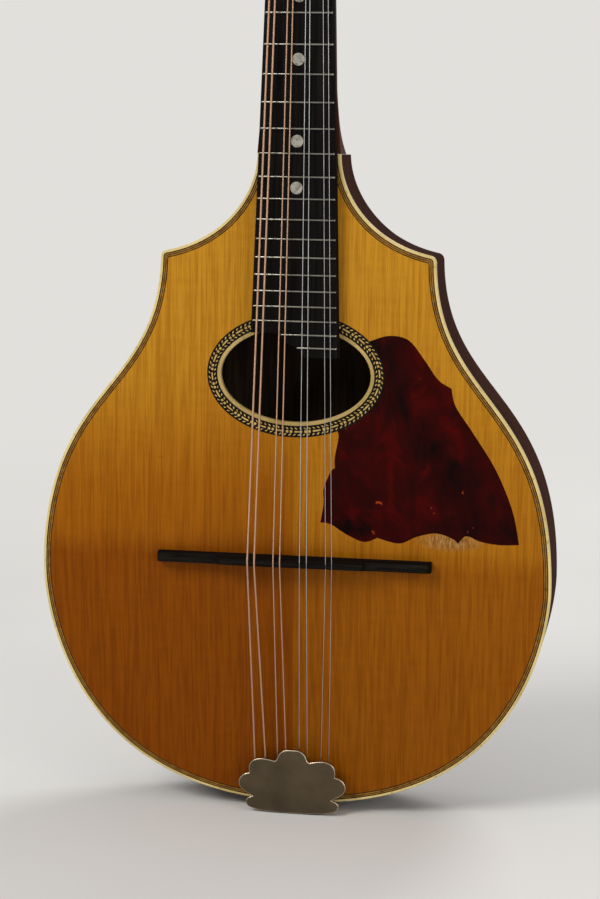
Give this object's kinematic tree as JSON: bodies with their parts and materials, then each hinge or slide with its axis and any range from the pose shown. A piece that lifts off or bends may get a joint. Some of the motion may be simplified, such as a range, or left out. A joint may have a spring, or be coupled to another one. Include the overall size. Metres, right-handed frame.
{
  "type": "cylinder back mandolin",
  "caption": "Canted-top mandolin with an oval sound hole, pointed shoulders, a raised cylinder along its back and worm tuners.",
  "frame": {"origin": "middle of the tailpiece end plate's outer face at the tail", "axes": "+Z from the tail to the head, +Y from the soundboard to the back, +X to the treble side"},
  "size_m": [0.2376, 0.0843, 0.5881],
  "materials": {
    "spruce_top": "amber gloss finish over straight spruce grain",
    "mahogany_body": "gloss dark reddish brown",
    "mahogany_neck": "gloss dark reddish brown",
    "bare_mahogany": "bare",
    "bare_spruce": "bare",
    "cream_binding": "aged cream celluloid",
    "purfling_lines": "thin dark and amber lines",
    "marquetry": "dark veneer with cream tiles",
    "tortoise": "dark mottled tortoise pattern",
    "ebony_board": "oiled, satin",
    "ebony_bridge": "satin",
    "fret_metal": "polished nickel silver",
    "pearl": "mother of pearl",
    "bone": "polished bone",
    "nickel_plate": "aged nickel plate",
    "bronze_wire": "wound bronze",
    "steel_wire": "bright plain wire",
    "tuner_steel": "nickel plated",
    "ivoroid": "cream celluloid"
  },
  "bodies": {
    "instrument": {"soundboard": "spruce_top", "back_panel": "mahogany_body", "side_rib_bass": "mahogany_body", "side_rib_treble": "mahogany_body", "neck_block": "bare_mahogany", "tail_block": "bare_mahogany", "top_lining_bass": "bare_mahogany", "top_lining_treble": "bare_mahogany", "back_lining_bass": "bare_mahogany", "back_lining_treble": "bare_mahogany", "top_brace_upper": "bare_spruce", "top_brace_middle": "bare_spruce", "top_brace_lower": "bare_spruce", "back_brace_upper": "bare_spruce", "back_brace_lower": "bare_spruce", "top_binding": "cream_binding", "top_purfling": "purfling_lines", "rosette": "marquetry", "soundhole_binding": "cream_binding", "pickguard": "tortoise", "neck": "mahogany_neck", "fingerboard": "ebony_board", "frets": "fret_metal", "position_dot_5": "pearl", "position_dot_7": "pearl", "position_dot_10": "pearl", "position_dot_12": "pearl", "nut": "bone", "tailpiece_base": "nickel_plate", "bridge": "ebony_bridge", "headstock_veneer": "ebony_board", "string_g_outer": "bronze_wire", "string_g_inner": "bronze_wire", "string_d_outer": "bronze_wire", "string_d_inner": "bronze_wire", "string_a_inner": "steel_wire", "string_a_outer": "steel_wire", "string_e_inner": "steel_wire", "string_e_outer": "steel_wire", "tuner_plate_bass": "nickel_plate", "tuner_plate_treble": "nickel_plate"},
    "tailpiece_cover": {"tailpiece_cover": "nickel_plate"},
    "knob_bass_1": {"tuner_knob_bass_1": "ivoroid"},
    "post_bass_1": {"tuner_post_bass_1": "tuner_steel"},
    "knob_bass_2": {"tuner_knob_bass_2": "ivoroid"},
    "post_bass_2": {"tuner_post_bass_2": "tuner_steel"},
    "knob_bass_3": {"tuner_knob_bass_3": "ivoroid"},
    "post_bass_3": {"tuner_post_bass_3": "tuner_steel"},
    "knob_bass_4": {"tuner_knob_bass_4": "ivoroid"},
    "post_bass_4": {"tuner_post_bass_4": "tuner_steel"},
    "knob_treble_1": {"tuner_knob_treble_1": "ivoroid"},
    "post_treble_1": {"tuner_post_treble_1": "tuner_steel"},
    "knob_treble_2": {"tuner_knob_treble_2": "ivoroid"},
    "post_treble_2": {"tuner_post_treble_2": "tuner_steel"},
    "knob_treble_3": {"tuner_knob_treble_3": "ivoroid"},
    "post_treble_3": {"tuner_post_treble_3": "tuner_steel"},
    "knob_treble_4": {"tuner_knob_treble_4": "ivoroid"},
    "post_treble_4": {"tuner_post_treble_4": "tuner_steel"}
  },
  "joints": [
    {"name": "cover_slide", "type": "slide", "parent": "instrument", "child": "tailpiece_cover", "axis": [0, 0.0872, -0.9962], "range_m": [0, 0.022]},
    {"name": "knob_turn_bass_1", "type": "hinge", "parent": "instrument", "child": "knob_bass_1", "pos_m": [-0.019, 0.00075, 0.47148], "axis": [1, 0, 0], "continuous": true},
    {"name": "post_turn_bass_1", "type": "hinge", "parent": "instrument", "child": "post_bass_1", "pos_m": [-0.019, -0.00047, 0.47735], "axis": [0, 0.9703, -0.2419], "continuous": true},
    {"name": "knob_turn_bass_2", "type": "hinge", "parent": "instrument", "child": "knob_bass_2", "pos_m": [-0.019, 0.00644, 0.49428], "axis": [1, 0, 0], "continuous": true},
    {"name": "post_turn_bass_2", "type": "hinge", "parent": "instrument", "child": "post_bass_2", "pos_m": [-0.019, 0.00522, 0.50015], "axis": [0, 0.9703, -0.2419], "continuous": true},
    {"name": "knob_turn_bass_3", "type": "hinge", "parent": "instrument", "child": "knob_bass_3", "pos_m": [-0.019, 0.01212, 0.51708], "axis": [1, 0, 0], "continuous": true},
    {"name": "post_turn_bass_3", "type": "hinge", "parent": "instrument", "child": "post_bass_3", "pos_m": [-0.019, 0.0109, 0.52295], "axis": [0, 0.9703, -0.2419], "continuous": true},
    {"name": "knob_turn_bass_4", "type": "hinge", "parent": "instrument", "child": "knob_bass_4", "pos_m": [-0.019, 0.01781, 0.53988], "axis": [1, 0, 0], "continuous": true},
    {"name": "post_turn_bass_4", "type": "hinge", "parent": "instrument", "child": "post_bass_4", "pos_m": [-0.019, 0.01659, 0.54575], "axis": [0, 0.9703, -0.2419], "continuous": true},
    {"name": "knob_turn_treble_1", "type": "hinge", "parent": "instrument", "child": "knob_treble_1", "pos_m": [0.019, 0.00075, 0.47148], "axis": [1, 0, 0], "continuous": true},
    {"name": "post_turn_treble_1", "type": "hinge", "parent": "instrument", "child": "post_treble_1", "pos_m": [0.019, -0.00047, 0.47735], "axis": [0, 0.9703, -0.2419], "continuous": true},
    {"name": "knob_turn_treble_2", "type": "hinge", "parent": "instrument", "child": "knob_treble_2", "pos_m": [0.019, 0.00644, 0.49428], "axis": [1, 0, 0], "continuous": true},
    {"name": "post_turn_treble_2", "type": "hinge", "parent": "instrument", "child": "post_treble_2", "pos_m": [0.019, 0.00522, 0.50015], "axis": [0, 0.9703, -0.2419], "continuous": true},
    {"name": "knob_turn_treble_3", "type": "hinge", "parent": "instrument", "child": "knob_treble_3", "pos_m": [0.019, 0.01212, 0.51708], "axis": [1, 0, 0], "continuous": true},
    {"name": "post_turn_treble_3", "type": "hinge", "parent": "instrument", "child": "post_treble_3", "pos_m": [0.019, 0.0109, 0.52295], "axis": [0, 0.9703, -0.2419], "continuous": true},
    {"name": "knob_turn_treble_4", "type": "hinge", "parent": "instrument", "child": "knob_treble_4", "pos_m": [0.019, 0.01781, 0.53988], "axis": [1, 0, 0], "continuous": true},
    {"name": "post_turn_treble_4", "type": "hinge", "parent": "instrument", "child": "post_treble_4", "pos_m": [0.019, 0.01659, 0.54575], "axis": [0, 0.9703, -0.2419], "continuous": true}
  ],
  "couplings": [
    {"joint": "post_turn_bass_1", "follows": "knob_turn_bass_1", "ratio": -0.071429},
    {"joint": "post_turn_bass_2", "follows": "knob_turn_bass_2", "ratio": -0.071429},
    {"joint": "post_turn_bass_3", "follows": "knob_turn_bass_3", "ratio": -0.071429},
    {"joint": "post_turn_bass_4", "follows": "knob_turn_bass_4", "ratio": -0.071429},
    {"joint": "post_turn_treble_1", "follows": "knob_turn_treble_1", "ratio": 0.071429},
    {"joint": "post_turn_treble_2", "follows": "knob_turn_treble_2", "ratio": 0.071429},
    {"joint": "post_turn_treble_3", "follows": "knob_turn_treble_3", "ratio": 0.071429},
    {"joint": "post_turn_treble_4", "follows": "knob_turn_treble_4", "ratio": 0.071429}
  ]
}
